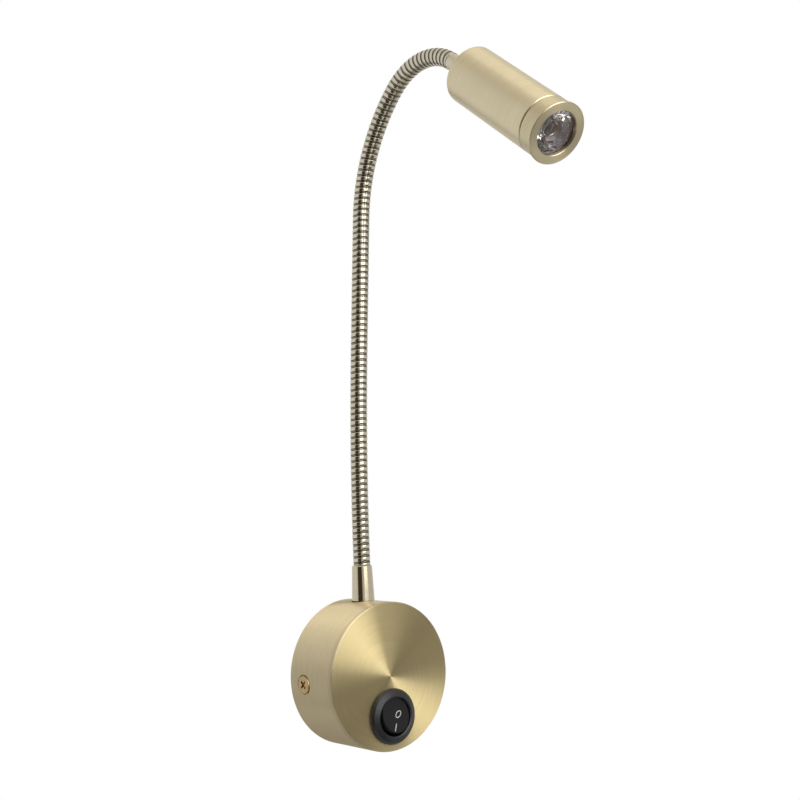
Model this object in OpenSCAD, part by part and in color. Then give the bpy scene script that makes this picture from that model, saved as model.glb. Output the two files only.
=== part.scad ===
// Adjustable wall lamp: a round wall base with a rocker switch, a ribbed arm that bends and
// stays where it is put, and a small tubular spot head with a collimating lens.
// Millimetres. The wall is the plane Y = 0, the lamp faces -Y and Z is up.
// The origin is the middle of the bracket's wall face.

/* [Wall base] */
// Outer diameter of the round base
base_d = 60; // [56:0.5:72]
// How far the base stands out from the wall
base_depth = 27.5; // [27:0.5:34]
// Thickness of the base's round side wall
base_wall = 2; // [1.6:0.1:2.2]
// Thickness of the base's front plate
base_front = 2; // [1.6:0.1:2.4]
// Radius of the round edge of the base's front
base_edge_r = 0.5; // [0.3:0.1:1.6]

/* [Wall bracket] */
// Thickness of the bracket's sheet
bracket_t = 1.5; // [1.2:0.1:1.8]
// Height of the bracket's strap
bracket_w = 24; // [23:0.5:27]
// Width of each ear that takes a side screw
ear_w = 10; // [8:0.5:11]
// How far the ears stand out from the wall
ear_out = 13.5; // [13:0.5:15]
// Distance between the middles of the two wall screw slots
slot_spacing = 36; // [33:0.5:37]
// End-to-end length of a wall screw slot
slot_l = 8; // [6:0.5:9]
// Width of a wall screw slot
slot_w = 4.4; // [3.6:0.1:5]
// Diameter of the hole for the supply cable
cable_hole_d = 9; // [7:0.5:9.5]

/* [Side screws] */
// Distance of the side screws from the wall
screw_out = 9; // [8:0.5:10]
// Distance of the side screws below the middle of the base
screw_drop = 1.2; // [0:0.1:1.8]
// Thread diameter of the side screws
screw_d = 4; // [3:0.5:4]
// Head diameter of the side screws
screw_head_d = 7.2; // [6.4:0.2:8.6]
// Head height of the side screws
screw_head_h = 1.2; // [1:0.1:1.8]
// Thread length of the side screws
screw_l = 7; // [6:0.5:8]
// Depth of the flat seat sunk into the base for each screw head
screw_seat = 0.9; // [0.7:0.1:1.2]

/* [Switch] */
// Gap between the switch's barrel and the base's side wall
switch_gap = 2; // [1.5:0.1:2.2]
// Angle that the switch is turned clockwise in its hole
switch_turn = 22; // [0:1:45]
// Diameter of the switch's bezel
bezel_d = 22.4; // [21.6:0.2:23]
// How far the bezel stands out from the base
bezel_h = 2.4; // [2:0.1:3]
// Diameter of the switch's barrel
barrel_d = 20; // [19.6:0.1:20.4]
// Depth of the barrel behind the front of the base
barrel_depth = 14; // [14:0.5:15]
// Diameter of the well in which the rocker tilts
well_d = 15.6; // [15.4:0.1:16]
// Diameter of the rocker
rocker_d = 14.4; // [13.6:0.1:14.4]
// Height of the rocker's face above its pivot
rocker_face = 4.3; // [3.2:0.1:4.6]
// Angle that the rocker turns from one position to the other
rocker_throw = 22; // [16:1:22]
// Hollow of the rocker's dished face
rocker_dish = 0.6; // [0.2:0.1:0.9]
// Diameter of the rocker's two pivot pins
rocker_pin_d = 2.4; // [2:0.1:2.6]
// Width of a terminal blade
blade_w = 4.8; // [4:0.1:5.2]
// Thickness of a terminal blade
blade_t = 0.8; // [0.6:0.1:1]
// Length of a terminal blade behind the barrel
blade_l = 7.5; // [6:0.5:8]

/* [Arm] */
// Distance of the arm's foot from the wall
arm_out = 11.5; // [11.5:0.1:12]
// Outer diameter of the ribbed hose
hose_d = 7.2; // [6.8:0.1:7.6]
// Diameter of the hose in the valleys between its ribs
hose_valley_d = 6.6; // [6.2:0.1:6.8]
// Ribs on each link of the hose
ribs_per_link = 7; // [5:1:9]
// Diameter of the hose's plain tails and of its link ends
hose_tail_d = 5.2; // [5:0.1:5.4]
// Diameter of the hose's bore
hose_bore_d = 3.6; // [3.2:0.1:3.8]
// Opening between two links, which lets them tilt
link_gap = 1.1; // [0.9:0.1:1.3]
// Length of the lowest stretch, which leans to the side
lean_run = 90; // [60:1:120]
// Angle that the lowest stretch leans to the side
lean_turn = 4; // [0:0.5:8]
// Length of the straight stretch above it
straight_run = 56; // [20:1:90]
// Length of the wide bend forwards
sweep_run = 56; // [40:1:90]
// Angle of the wide bend forwards
sweep_turn = 45; // [0:1:60]
// Length of the tight bend before the head
crook_run = 40; // [36:1:60]
// Angle of the tight bend before the head
crook_turn = 81; // [0:1:90]

/* [Arm fittings] */
// Height of the tapered ferrule above the base
ferrule_l = 14.5; // [12:0.5:20]
// Diameter of the ferrule at its foot
ferrule_foot_d = 9.5; // [8.8:0.1:11]
// Diameter of the ferrule at its top
ferrule_top_d = 8.4; // [7.7:0.1:8.8]
// Thread diameter of the studs on the ferrule and on the collar
stud_d = 6; // [5.6:0.1:6.4]
// Bore of both fittings, for the lead
fitting_bore_d = 3.4; // [3:0.1:3.6]
// Depth of both fittings' sockets for the hose's tails
socket_depth = 6.2; // [5:0.1:7]
// Length of the smooth collar behind the head
collar_l = 14; // [12:0.5:20]
// Diameter of the smooth collar
collar_d = 7; // [6.8:0.1:7.6]
// Width of the arm nuts across flats
nut_af = 10; // [9.5:0.5:11]
// Thickness of the arm nuts
nut_t = 3; // [2.4:0.1:4]
// Diameter of the lead that runs through the arm
lead_d = 2.4; // [2:0.1:2.6]

/* [Head] */
// Outer diameter of the head
head_d = 23.3; // [22.4:0.1:26]
// Whole length of the head
head_l = 56.8; // [52:0.1:70]
// Length of the front cap that shows
cap_l = 7.5; // [6:0.5:10]
// Width of the groove between the body and the cap
groove_w = 0.35; // [0.2:0.05:0.6]
// Diameter of the cap's flange
flange_d = 24.3; // [23.9:0.1:27]
// Thickness of the cap's flange
flange_t = 1; // [0.8:0.1:1.6]
// Diameter of the opening in the cap
opening_d = 17.2; // [16:0.1:17.6]
// Wall of the head body
head_wall = 1.5; // [1.3:0.1:1.6]
// Thickness of the head's back plate
head_back = 3; // [2.5:0.1:4]
// Radius of the round edge of the head's back
head_edge_r = 0.5; // [0.3:0.1:2.5]
// Height of the lens
lens_h = 10.5; // [10:0.1:11.5]
// Thickness of the lens's rim
lens_rim_t = 1.5; // [1.2:0.1:2]
// Diameter of the lens at its back
lens_back_d = 8.4; // [8:0.1:9]
// Diameter of the dimple in the lens's front
dimple_d = 8; // [6:0.1:9]
// Depth of the dimple in the lens's front
dimple_depth = 3; // [2:0.1:3.2]
// Length of the metal heat sink
sink_l = 15; // [10:0.5:16]
// Diameter of the LED board
led_board_d = 16; // [15.5:0.1:16.4]
// Thickness of the LED board
led_board_t = 1.6; // [1:0.1:1.6]

/* [Driver] */
// Width of the driver case
case_w = 34; // [30:0.5:38]
// Height of the driver case
case_h = 15.5; // [15:0.5:16]
// Wall of the driver case
case_wall = 1.2; // [1:0.1:1.4]
// Thickness of the foam tape that holds the driver case
tape_t = 0.45; // [0.3:0.05:0.6]
// Length of the terminal block
block_w = 16; // [15:0.5:20]
// Height of the terminal block
block_h = 7; // [6.5:0.5:7]
// Depth of the terminal block
block_depth = 6.5; // [6:0.1:6.5]
// Diameter of the wires inside the base
wire_d = 1.6; // [1.2:0.1:1.8]

/* [Hidden] */
$fn = 64;
SMALL = 32;        // sides of small round features
BRASS = "#b7a673";
HOSE_BRASS = "#8f8462";
SCREW_BRASS = "#b08d4a";
BLACK = "#222325";
STEEL = "#b9bcc0";
CUT = 1;           // how far a cut runs past a face
SEAT = 0.02;       // gap between seated faces
LOOSE = 0.1;       // gap around a piece that is slid in
RUNNING = 0.05;    // gap around a pin that turns
THREAD = 0.05;     // gap between a screw and its thread
SEAT_ROOM = 0.4;   // gap between a screw's head and the side of its seat
WIRE_GAP = 0.06;   // gap between a wire's end and what it meets

LINKS = 14;
LINK_NAMES = [for (i = [1:LINKS]) str("gooseneck_link_", i < 10 ? "0" : "", i)];

// Base: sizes that follow from the driving ones
base_r = base_d / 2;
inner_r = base_r - base_wall;
ear_x = sqrt(inner_r * inner_r - ear_w * ear_w / 4) - 0.15;   // outer face of an ear
screw_x = base_r - screw_seat;                                // seat of a screw head
ear_collar_d = screw_d + 2.4;                                 // drawn collar round an ear's thread
ear_collar_l = 1.5;
screw_rim = 0.4;                                              // rounding of a screw head's rim
screw_recess_l = 3.8;                                         // cross in a screw head
screw_recess_w = 0.9;
screw_recess_depth = 0.8;
foot_z = base_r + SEAT;

// Switch: heights are measured outwards from the front of the base
barrel_r = barrel_d / 2;
switch_drop = inner_r - barrel_r - switch_gap;   // distance below the middle of the base
panel_gap = 0.1;          // gap between the barrel and its hole
rocker_r = rocker_d / 2;
pivot_z = -1.5;           // height of the rocker's pivot
rocker_skirt = 2;         // rocker skirt below the pivot
rocker_shell = 1;         // wall of the rocker's skirt
rocker_floor = 1.3;       // underside of the rocker's face above the pivot
rocker_gap = 0.15;        // least gap between the rocker and the side of its well
post_d = 4.6;
post_l = 6;
pin_reach = 1;            // how far a pivot pin enters the barrel's wall
plunger_d = 2.4;
plunger_reach = 8.2;      // plunger tip below the pivot
plunger_l = 3;
spring_wire = 0.3;
spring_curls = 5;
spring_top = 0.6;         // top of the spring below the pivot
lever_t = 0.6;
lever_w = 4;
lever_l = 11.6;
lever_gap = 0.1;          // plunger tip to lever with the rocker upright
lever_z = pivot_z - plunger_reach - lever_gap - lever_t / 2;
lever_tilt = rocker_throw / 4;
rib_r = 0.8;              // rocking rib under the lever
contact_y = 4.8;          // contacts above the middle of the switch
contact_r = 1.1;
contact_h = 0.5;
end_blade_y = 5.2;        // blade of the end terminal above the middle
well_floor = -barrel_depth + 1.4;
barb_w = 4;

// Arm: each stretch of its centre line is [length, turn to the side, turn forwards]
STRETCHES = [
    [lean_run, lean_turn, 0],
    [straight_run, 0, 0],
    [sweep_run, 0, sweep_turn],
    [crook_run, 0, crook_turn]];
hose_len = lean_run + straight_run + sweep_run + crook_run;
link_len = hose_len / LINKS;
rib_pitch = link_len / ribs_per_link;
RIB_SIDES = 8;
ROOT = [[0, -arm_out, foot_z + ferrule_l], [0, 0, 1], [1, 0, 0], [0, -1, 0]];
tail_l = socket_depth - 0.2;
socket_d = hose_tail_d + 0.3;
rib_round = 1 / cos(90 / RIB_SIDES);   // ring radius that gives an eight-sided rib its girth
stud_l = 11.5;                         // ferrule stud below the base's surface
washer_d = 11;
washer_t = 0.8;
washer_top = sqrt(inner_r * inner_r - washer_d * washer_d / 4) - SEAT;

// Head: distances are measured forwards from its back
head_r = head_d / 2;
cap_back = head_l - cap_l;
body_len = cap_back;
thread_wall = 1;                       // wall of the body round the cap's thread
sleeve_l = 8;                          // threaded sleeve of the cap inside the body
sleeve_wall = 0.55;
lip_t = 1.6;                           // lip of the cap that holds the lens
seal_d = 0.9;                          // section of the seal
lens_front = head_l - lip_t - seal_d - 0.1;
lens_back = lens_front - lens_h;
sleeve_r = head_r - thread_wall - 0.05;
lens_room_r = sleeve_r - sleeve_wall;
lens_r = lens_room_r - 0.3;
holder_r = lens_room_r - LOOSE;
holder_gap = 0.3;                      // lens cone to holder
emitter_h = 0.9;
dome_r = 1.25;
board_front = lens_back - emitter_h - 1;
board_back = board_front - led_board_t;
pad_t = 0.35;
sink_front = board_back - pad_t - 2 * SEAT;
sink_r = head_r - head_wall - LOOSE;
board_screw_y = 6;
board_wire_x = 6.2;
core_d = 1;                            // one core of the lead
lead_end = sink_front - sink_l - 5;    // where the lead's two cores part

// Driver: heights are measured outwards from the wall
case_back = arm_out - 3;
case_front = base_depth - base_front - tape_t - 2 * SEAT;
case_low = -switch_drop + barrel_r + 1.3;
case_top = case_low + case_h;
board_t = 1.2;
driver_board_out = arm_out + lead_d / 2 + 0.1;
block_low = cable_hole_d / 2 + 0.7;
pole_x = 4;
wire_hole_gap = 0.2;

// Turtle geometry of the arm. A frame is [point, along, to the side, forwards].
function turned(fr, len, side, fwd) =
    let (turn = side + fwd,
         way = side != 0 ? fr[2] : fr[3],
         r = turn == 0 ? 0 : len * 180 / (PI * turn),
         along = turn == 0 ? len : r * sin(turn),
         off = r * (1 - cos(turn)))
    [fr[0] + fr[1] * along + way * off,
     fr[1] * cos(turn) + way * sin(turn),
     side != 0 ? fr[2] * cos(turn) - fr[1] * sin(turn) : fr[2],
     side != 0 ? fr[3] : fr[3] * cos(turn) - fr[1] * sin(turn)];

// Frame at a distance along the arm's centre line, which runs straight past both ends
function station(s, i = 0, fr = ROOT) =
    i >= len(STRETCHES) || s < 0 ? turned(fr, s, 0, 0)
    : let (st = STRETCHES[i])
      s <= st[0] ? turned(fr, s, st[1] * s / st[0], st[2] * s / st[0])
      : station(s - st[0], i + 1, turned(fr, st[0], st[1], st[2]));

// Ring of points round a place on the arm's centre line
function ring(s, r, n = RIB_SIDES) =
    let (fr = station(s))
    [for (k = [0:n - 1]) let (a = (k + 0.5) * 360 / n) fr[0] + r * (cos(a) * fr[2] + sin(a) * fr[3])];

function joined(lists) = [for (l = lists) each l];

// Quads between neighbouring rings, each as two triangles
function band(a, b, n) =
    [for (k = [0:n - 1]) let (m = (k + 1) % n)
        each [[a + m, b + m, b + k], [a + m, b + k, a + k]]];

// Shell through rings that lead out along the outside and back through the bore
module shell_of_rings(rings) {
    n = len(rings[0]);
    count = len(rings);
    polyhedron(joined(rings),
        joined([for (j = [0:count - 1]) band(j * n, (j + 1) % count * n, n)]), convexity = 6);
}

// Closed tube through rings
module tube_of_rings(rings) {
    n = len(rings[0]);
    last = (len(rings) - 1) * n;
    polyhedron(joined(rings), concat(
        joined([for (j = [0:len(rings) - 2]) band(j * n, (j + 1) * n, n)]),
        [for (k = [1:n - 2]) [0, k + 1, k]],
        [for (k = [1:n - 2]) [last, last + k, last + k + 1]]), convexity = 6);
}

// Rounded route through hand-chosen points
function spline(p0, p1, p2, p3, t) =
    0.5 * (2 * p1 + t * (p2 - p0) + t * t * (2 * p0 - 5 * p1 + 4 * p2 - p3)
        + t * t * t * (3 * p1 - p0 - 3 * p2 + p3));
function route(pts, steps = 3) =
    let (n = len(pts))
    concat([for (i = [0:n - 2]) for (k = [0:steps - 1])
        spline(pts[max(i - 1, 0)], pts[i], pts[i + 1], pts[min(i + 2, n - 1)], k / steps)],
        [pts[n - 1]]);
function unit(v) = v / norm(v);

// Round wire along a route, cut square at both ends. Its rings keep clear of one fixed direction
module wire(pts, d, away = [0.3, 0.1, 0.9]) {
    path = route(pts);
    n = len(path);
    tube_of_rings([for (i = [0:n - 1])
        let (t = unit(i == 0 ? pts[1] - pts[0]
                 : i == n - 1 ? pts[len(pts) - 1] - pts[len(pts) - 2]
                 : path[i + 1] - path[i - 1]),
             u = unit(cross(away, t)),
             v = cross(t, u))
        [for (k = [0:7]) path[i] + d / 2 * (cos(-45 * k) * u + sin(-45 * k) * v)]]);
}

// Lays out a piece with X to the right, Y up and Z outwards from the wall
module facing() {
    rotate([90, 0, 0]) children();
}

// Lays out a piece about the switch's axis, with Z outwards from the front of the base
module at_switch() {
    facing() translate([0, -switch_drop, base_depth]) rotate(-switch_turn) children();
}

// Lays out a piece along the arm, with Z along it
module on_arm(s) {
    fr = station(s);
    multmatrix([
        [fr[2].x, -fr[3].x, fr[1].x, fr[0].x],
        [fr[2].y, -fr[3].y, fr[1].y, fr[0].y],
        [fr[2].z, -fr[3].z, fr[1].z, fr[0].z],
        [0, 0, 0, 1]]) children();
}

// Lays out a piece in the head, with Z forwards from its back
module in_head() {
    on_arm(hose_len + collar_l) children();
}

// Both the right and the left copy
module both_sides() {
    children();
    mirror([1, 0, 0]) children();
}

// Disc whose front edge is round
module round_edged(r, h, edge) {
    rotate_extrude() {
        square([r - edge, h]);
        square([r, h - edge]);
        translate([r - edge, h - edge]) intersection() {
            circle(edge, $fn = SMALL);
            square(edge);
        }
    }
}

// Ring with square edges
module pipe(d, bore, h) {
    difference() {
        cylinder(d = d, h = h);
        translate([0, 0, -CUT]) cylinder(d = bore, h = h + 2 * CUT);
    }
}

module hex_nut(af, bore, h) {
    difference() {
        cylinder(d = af / cos(30), h = h, $fn = 6);
        translate([0, 0, -CUT]) cylinder(d = bore, h = h + 2 * CUT, $fn = SMALL);
    }
}

// Cross recess for a screwdriver, cut down from Z = 0
module cross_recess(l, w, depth) {
    for (a = [0, 90]) rotate(a) translate([-l / 2, -w / 2, -depth]) cube([l, w, depth + CUT]);
}

// Slot with round ends through a plate
module slot(l, w, h) {
    translate([-(l - w) / 2, -w / 2, 0]) cube([l - w, w, h]);
    for (x = [-1, 1]) translate([x * (l - w) / 2, 0, 0]) cylinder(d = w, h = h, $fn = SMALL);
}

module base_housing() {
    color(BRASS) facing() difference() {
        round_edged(base_r, base_depth, base_edge_r);
        translate([0, 0, -CUT]) cylinder(r = inner_r, h = base_depth - base_front + CUT);
        translate([0, -switch_drop, base_depth - base_front - CUT])
            cylinder(r = barrel_r + panel_gap, h = base_front + 2 * CUT);
        translate([0, inner_r - CUT, arm_out]) rotate([-90, 0, 0])
            cylinder(d = stud_d + 2 * LOOSE, h = base_wall + 2 * CUT, $fn = SMALL);
        both_sides() translate([inner_r - CUT, -screw_drop, screw_out]) rotate([0, 90, 0]) {
            cylinder(d = screw_d + 4 * LOOSE, h = base_wall + 2 * CUT, $fn = SMALL);
            translate([0, 0, screw_x - inner_r + CUT])
                cylinder(d = screw_head_d + 2 * SEAT_ROOM, h = base_wall + CUT, $fn = SMALL);
        }
    }
}

module wall_bracket() {
    color(STEEL) facing() difference() {
        union() {
            intersection() {
                cylinder(r = inner_r - 0.3, h = bracket_t);
                translate([-ear_x, -bracket_w / 2, 0]) cube([2 * ear_x, bracket_w, bracket_t]);
            }
            both_sides() {
                translate([ear_x - bracket_t, -ear_w / 2, 0]) cube([bracket_t, ear_w, ear_out]);
                translate([ear_x - bracket_t - ear_collar_l, -screw_drop, screw_out])
                    rotate([0, 90, 0])
                        cylinder(d = ear_collar_d, h = ear_collar_l + bracket_t / 2, $fn = SMALL);
            }
        }
        translate([0, 0, -CUT]) cylinder(d = cable_hole_d, h = bracket_t + 2 * CUT);
        both_sides() {
            translate([slot_spacing / 2, 0, -CUT]) slot(slot_l, slot_w, bracket_t + 2 * CUT);
            translate([ear_x - bracket_t - ear_collar_l - CUT, -screw_drop, screw_out])
                rotate([0, 90, 0])
                    cylinder(d = screw_d + 2 * THREAD, h = ear_collar_l + bracket_t + 2 * CUT, $fn = SMALL);
        }
        translate(concat(EARTH, -CUT))
            cylinder(d = earth_d + 2 * THREAD, h = bracket_t + 2 * CUT, $fn = SMALL);
    }
}

// Earth screw: its place on the bracket and its sizes
EARTH = [9, -7.5];
earth_d = 3;
earth_head_d = 5.6;
earth_head_h = 2;

module earth_screw() {
    color(SCREW_BRASS) facing() translate(concat(EARTH, bracket_t + SEAT)) difference() {
        union() {
            cylinder(d = earth_head_d, h = earth_head_h, $fn = SMALL);
            translate([0, 0, -bracket_t]) cylinder(d = earth_d, h = bracket_t + CUT, $fn = SMALL);
        }
        translate([0, 0, earth_head_h]) cross_recess(3, 0.7, 0.9);
    }
}

// Side screw with a flat head, a rounded rim and a cross recess
module side_screw() {
    head_r = screw_head_d / 2;
    difference() {
        union() {
            rotate_extrude($fn = SMALL) polygon([
                [0, 0], [head_r, 0], [head_r, screw_head_h - screw_rim],
                [head_r - screw_rim * 0.3, screw_head_h - screw_rim * 0.3],
                [head_r - screw_rim, screw_head_h], [0, screw_head_h]]);
            translate([0, 0, -screw_l]) cylinder(d = screw_d, h = screw_l + CUT / 2, $fn = SMALL);
        }
        translate([0, 0, screw_head_h]) rotate(45)
            cross_recess(screw_recess_l, screw_recess_w, screw_recess_depth);
    }
}

module housing_screws() {
    color(SCREW_BRASS) facing() both_sides()
        translate([screw_x + SEAT, -screw_drop, screw_out]) rotate([0, 90, 0]) side_screw();
}

module switch_body() {
    color(BLACK) at_switch() difference() {
        union() {
            rotate_extrude() polygon([
                [0, SEAT], [bezel_d / 2, SEAT], [bezel_d / 2, bezel_h * 0.35],
                [bezel_d / 2 - 0.7, bezel_h * 0.7], [well_d / 2 + 0.6, bezel_h],
                [well_d / 2, bezel_h - 0.25], [0, bezel_h - 0.25]]);
            translate([0, 0, -barrel_depth]) cylinder(r = barrel_r, h = barrel_depth + 2 * SEAT);
            both_sides() translate([0, barb_w / 2, 0]) rotate([90, 0, 0]) linear_extrude(barb_w)
                polygon([[barrel_r - 0.5, -base_front - 0.1], [barrel_r + 0.9, -base_front - 0.3],
                    [barrel_r + 0.9, -base_front - 0.8], [barrel_r - 0.5, -base_front - 5]]);
        }
        translate([0, 0, well_floor]) cylinder(d = well_d, h = barrel_depth + bezel_h);
        translate([-well_d / 2 - pin_reach - 0.2, 0, pivot_z]) rotate([0, 90, 0])
            cylinder(d = rocker_pin_d + 2 * RUNNING, h = well_d + 2 * pin_reach + 0.4, $fn = SMALL);
        for (y = [0, end_blade_y])
            translate([-blade_w / 2 - LOOSE, y - blade_t / 2 - LOOSE, -barrel_depth - CUT])
                cube([blade_w + 2 * LOOSE, blade_t + 2 * LOOSE, CUT + barrel_depth + well_floor + CUT]);
    }
}

// Lays out a piece of the rocker about its pivot, as it stands with the switch off
module on_rocker() {
    at_switch() translate([0, 0, pivot_z]) rotate([-rocker_throw / 2, 0, 0]) children();
}

// Solid rocker whose side tapers towards its face, so that it clears the well when pressed
module rocker_blank() {
    half = rocker_throw / 2;
    taper_z = min(rocker_face - 0.1, (well_d / 2 - rocker_gap - rocker_r * cos(half)) / sin(half));
    face_r = rocker_r - (rocker_face - taper_z) * tan(half);
    rotate_extrude() polygon([
        [0, -rocker_skirt], [rocker_r, -rocker_skirt], [rocker_r, taper_z],
        [face_r, rocker_face], [0, rocker_face]]);
}

module switch_rocker() {
    dish_r = (rocker_r * rocker_r + rocker_dish * rocker_dish) / (2 * rocker_dish);
    color(BLACK) on_rocker() difference() {
        union() {
            difference() {
                rocker_blank();
                translate([0, 0, -rocker_skirt - CUT])
                    cylinder(r = rocker_r - rocker_shell, h = rocker_skirt + rocker_floor + CUT);
                translate([-rocker_d, 0, rocker_face - rocker_dish + dish_r]) rotate([0, 90, 0])
                    cylinder(r = dish_r, h = 2 * rocker_d, $fn = 128);
            }
            translate([0, 0, -post_l])
                cylinder(d = post_d, h = post_l + rocker_floor + CUT / 2, $fn = SMALL);
            both_sides() translate([rocker_r - rocker_shell, 0, 0]) rotate([0, 90, 0])
                cylinder(d = rocker_pin_d, h = rocker_shell + pin_reach + (well_d - rocker_d) / 2,
                    $fn = SMALL);
        }
        translate([0, 0, -post_l - CUT])
            cylinder(d = plunger_d + 2 * RUNNING, h = post_l + CUT - spring_top + RUNNING, $fn = SMALL);
    }
}

module switch_plunger() {
    color(SCREW_BRASS) on_rocker() {
        translate([0, 0, -plunger_reach + plunger_d / 2]) {
            sphere(d = plunger_d, $fn = SMALL);
            cylinder(d = plunger_d, h = plunger_l - plunger_d / 2, $fn = SMALL);
        }
    }
}

// Coil spring between the plunger and the rocker
spring_len = plunger_reach - plunger_l - spring_top - spring_wire;
spring_r = plunger_d / 2 - spring_wire / 2 - RUNNING;
CURL_RINGS = 8;
function curl(i) =
    let (a = 360 * i / CURL_RINGS)
    [spring_r * cos(a), spring_r * sin(a),
     -spring_top - spring_wire / 2 - spring_len * i / (CURL_RINGS * spring_curls)];
spring_rings = CURL_RINGS * spring_curls;
spring_least_gap = min([for (i = [0:spring_rings]) for (j = [i + 5:1:spring_rings])
    norm(curl(i) - curl(j))]) - spring_wire;
echo(str("Least gap of the spring to itself: ", spring_least_gap, " mm"));

module switch_spring() {
    color(STEEL) on_rocker() tube_of_rings([for (i = [0:spring_rings])
        let (t = unit(curl(i + 1) - curl(i - 1)),
             u = unit(cross([0, 0, 1], t)),
             v = cross(t, u))
        [for (k = [0:5]) curl(i) + spring_wire / 2 * (cos(-60 * k) * u + sin(-60 * k) * v)]]);
}

// See-saw lever, which the plunger tips over its rocking rib
module switch_contact_lever() {
    color(SCREW_BRASS) at_switch() translate([0, 0, lever_z]) rotate([lever_tilt, 0, 0]) {
        translate([-lever_w / 2, -lever_l / 2, -lever_t / 2]) cube([lever_w, lever_l, lever_t]);
        translate([-lever_w / 2, 0, 0]) intersection() {
            rotate([0, 90, 0]) cylinder(r = rib_r, h = lever_w, $fn = SMALL);
            translate([0, -rib_r, -2 * rib_r]) cube([lever_w, 2 * rib_r, 2 * rib_r]);
        }
        translate([0, contact_y, -lever_t / 2 - contact_h])
            cylinder(r = contact_r, h = contact_h + lever_t / 2, $fn = SMALL);
    }
}

module switch_terminals() {
    cradle_top = lever_z - rib_r * 0.7;
    cradle_low = well_floor + SEAT;
    closed_z = lever_z - contact_y * sin(lever_tilt) - (lever_t / 2 + contact_h) * cos(lever_tilt);
    rivet_top = closed_z - 0.08;
    pad_low = well_floor + SEAT;
    pad_h = rivet_top - 0.45 - pad_low;
    color(STEEL) at_switch() {
        difference() {
            union() {
                translate([-lever_w / 2, -1.5, cradle_low]) cube([lever_w, 3, cradle_top - cradle_low]);
                blade(0, cradle_low + 0.5);
            }
            translate([-lever_w, 0, lever_z]) rotate([0, 90, 0])
                cylinder(r = rib_r + RUNNING, h = 2 * lever_w, $fn = SMALL);
        }
        translate([-blade_w / 2, contact_y - 1.2, pad_low]) cube([blade_w, 2.6, pad_h]);
        translate([0, contact_y, pad_low]) cylinder(r = contact_r, h = rivet_top - pad_low, $fn = SMALL);
        blade(end_blade_y, pad_low + pad_h / 2);
    }
}

// Terminal blade with a hole near its end
module blade(y, top) {
    low = -barrel_depth - blade_l;
    translate([0, y, 0]) difference() {
        translate([-blade_w / 2, -blade_t / 2, low]) cube([blade_w, blade_t, top - low]);
        translate([0, -blade_t, low + 2]) rotate([-90, 0, 0])
            cylinder(d = 1.4, h = 2 * blade_t, $fn = SMALL);
    }
}

// Holes of the driver case: [x, y] of the two wires in its back
SWITCHED_AT = [12, case_low + 6.5];
NEUTRAL_AT = [12, case_top - 2.6];

module driver_case() {
    depth = case_front - case_back;
    color("#e9e9e4") facing() difference() {
        translate([-case_w / 2, case_low, case_back]) cube([case_w, case_h, depth - case_wall]);
        translate([-case_w / 2 + case_wall, case_low + case_wall, case_back + case_wall])
            cube([case_w - 2 * case_wall, case_h - 2 * case_wall, depth]);
        translate([0, case_top - case_wall - CUT, arm_out]) rotate([-90, 0, 0])
            cylinder(d = lead_d + 2 * wire_hole_gap, h = case_wall + 2 * CUT, $fn = SMALL);
        for (p = [SWITCHED_AT, NEUTRAL_AT]) translate(concat(p, case_back - CUT))
            cylinder(d = wire_d + 2 * wire_hole_gap, h = case_wall + 2 * CUT, $fn = SMALL);
    }
}

module driver_lid() {
    step = case_wall + LOOSE;
    color("#e9e9e4") facing() {
        translate([-case_w / 2, case_low, case_front - case_wall + SEAT])
            cube([case_w, case_h, case_wall - SEAT]);
        translate([-case_w / 2 + step, case_low + step, case_front - 2 * case_wall])
            cube([case_w - 2 * step, case_h - 2 * step, case_wall * 1.5]);
    }
}

module driver_tape() {
    color("#d8d8d8") facing() translate([-case_w / 2 + 3, case_low + 2, case_front + SEAT])
        cube([case_w - 6, case_h - 4, tape_t]);
}

module driver_board() {
    color("#2f6b3c") facing()
        translate([-case_w / 2 + case_wall + LOOSE, case_low + case_wall + LOOSE, driver_board_out])
            cube([case_w - 2 * case_wall - 2 * LOOSE, case_h - 2 * case_wall - 2 * LOOSE, board_t]);
}

// Transformer, storage capacitor, choke, bridge and control chip on the driver board
module driver_components() {
    room = case_front - 2 * case_wall - driver_board_out - board_t;
    mid = (case_low + case_top) / 2;
    color("#3a3a3c") facing() translate([0, mid, driver_board_out + board_t + SEAT]) {
        translate([-5, -4.5, 0]) cube([9, 9, room * 0.85]);
        translate([-10.5, 0, 0]) cylinder(d = 6.3, h = room * 0.9, $fn = SMALL);
        translate([8.5, 2, 0]) cylinder(d = 5, h = room * 0.6, $fn = SMALL);
        translate([5.6, -5.2, 0]) cube([5, 4, 1.6]);
        translate([12.2, -4.5, 0]) cube([2.2, 5, 3]);
    }
}

module terminal_block() {
    color("#ececea") facing() difference() {
        translate([-block_w / 2, block_low, bracket_t + SEAT]) cube([block_w, block_h, block_depth]);
        both_sides() translate([pole_x, block_low - CUT, pole_out]) rotate([-90, 0, 0])
            cylinder(d = insert_d + 2 * RUNNING, h = block_h + 2 * CUT, $fn = SMALL);
        for (x = [-pole_x, pole_x], y = [0.25, 0.75])
            translate([x, block_low + block_h * y, pole_out])
                cylinder(d = insert_screw_d + 2 * LOOSE, h = block_depth, $fn = SMALL);
    }
}

// Brass inserts of the terminal block and their screws
insert_d = 3.6;
insert_bore_d = wire_d + 0.6;
insert_screw_d = 2;
pole_out = bracket_t + SEAT + block_depth / 2;

module terminal_inserts() {
    color(SCREW_BRASS) facing() both_sides() difference() {
        translate([pole_x, block_low, pole_out]) rotate([-90, 0, 0])
            pipe(insert_d, insert_bore_d, block_h, $fn = SMALL);
        for (y = [0.25, 0.75]) translate([pole_x, block_low + block_h * y, pole_out])
            cylinder(d = insert_screw_d + 2 * THREAD, h = insert_d, $fn = SMALL);
    }
}

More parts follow.
